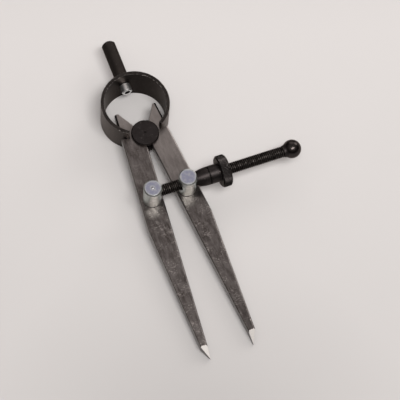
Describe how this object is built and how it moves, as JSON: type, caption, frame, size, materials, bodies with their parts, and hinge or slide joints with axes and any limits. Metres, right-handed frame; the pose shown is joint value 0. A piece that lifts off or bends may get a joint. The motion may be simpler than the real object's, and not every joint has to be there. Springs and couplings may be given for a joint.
{
  "type": "spring divider",
  "caption": "Spring divider with flat pointed legs on a fulcrum roll, a bow spring with a round handle, and a ball-ended adjusting screw with a knurled thumb nut between swivel posts.",
  "frame": {"origin": "where the fulcrum axis meets the plane of the bow spring's lower edge", "axes": "+Y runs from the fulcrum to the handle, +X along the adjusting screw towards its ball end, +Z out of the front of the legs"},
  "size_m": [0.071, 0.1462, 0.0225],
  "materials": {
    "leg_steel": "blued, semi-gloss",
    "black_steel": "black oxide, satin",
    "bright_steel": "turned and plated"
  },
  "bodies": {
    "fulcrum": {"fulcrum_roll": "black_steel"},
    "left_leg": {"left_leg": "leg_steel"},
    "right_leg": {"right_leg": "leg_steel"},
    "bow": {"bow_spring": "black_steel", "handle": "black_steel", "handle_screw": "bright_steel"},
    "left_post": {"left_post": "bright_steel", "left_post_washer": "bright_steel", "screw_pin": "bright_steel", "adjusting_screw": "black_steel", "ball_end": "black_steel"},
    "right_post": {"right_post": "bright_steel", "right_post_washer": "bright_steel"},
    "nut": {"nut_sleeve": "black_steel", "nut_jaw_upper": "black_steel", "nut_jaw_lower": "black_steel", "nut_ring": "black_steel"}
  },
  "joints": [
    {"name": "left_leg_swing", "type": "hinge", "parent": "fulcrum", "child": "left_leg", "pos_m": [0, 0, 0.0067], "axis": [0, 0, -1], "range_deg": [-5, 25]},
    {"name": "right_leg_swing", "type": "hinge", "parent": "fulcrum", "child": "right_leg", "pos_m": [0, 0, 0.0067], "axis": [0, 0, 1], "range_deg": [-5, 25]},
    {"name": "bow_slide", "type": "slide", "parent": "fulcrum", "child": "bow", "axis": [0, 1, 0], "range_m": [-0.00086, 0.00428]},
    {"name": "left_post_swivel", "type": "hinge", "parent": "left_leg", "child": "left_post", "pos_m": [-0.00748, -0.02877, 0.0087], "axis": [0, 0, 1], "range_deg": [-5, 25]},
    {"name": "right_post_swivel", "type": "hinge", "parent": "right_leg", "child": "right_post", "pos_m": [0.00748, -0.02877, 0.0087], "axis": [0, 0, -1], "range_deg": [-5, 25]},
    {"name": "nut_turn", "type": "hinge", "parent": "right_post", "child": "nut", "pos_m": [0.00748, -0.02877, 0.0143], "axis": [1, 0, 0], "range_deg": [-2100, 10500]}
  ],
  "couplings": [
    {"joint": "right_leg_swing", "follows": "left_leg_swing", "ratio": 1},
    {"joint": "bow_slide", "follows": "left_leg_swing", "m_per_rad": 0.0098},
    {"joint": "left_post_swivel", "follows": "left_leg_swing", "ratio": 1},
    {"joint": "right_post_swivel", "follows": "left_leg_swing", "ratio": 1},
    {"joint": "nut_turn", "follows": "left_leg_swing", "ratio": 420}
  ]
}
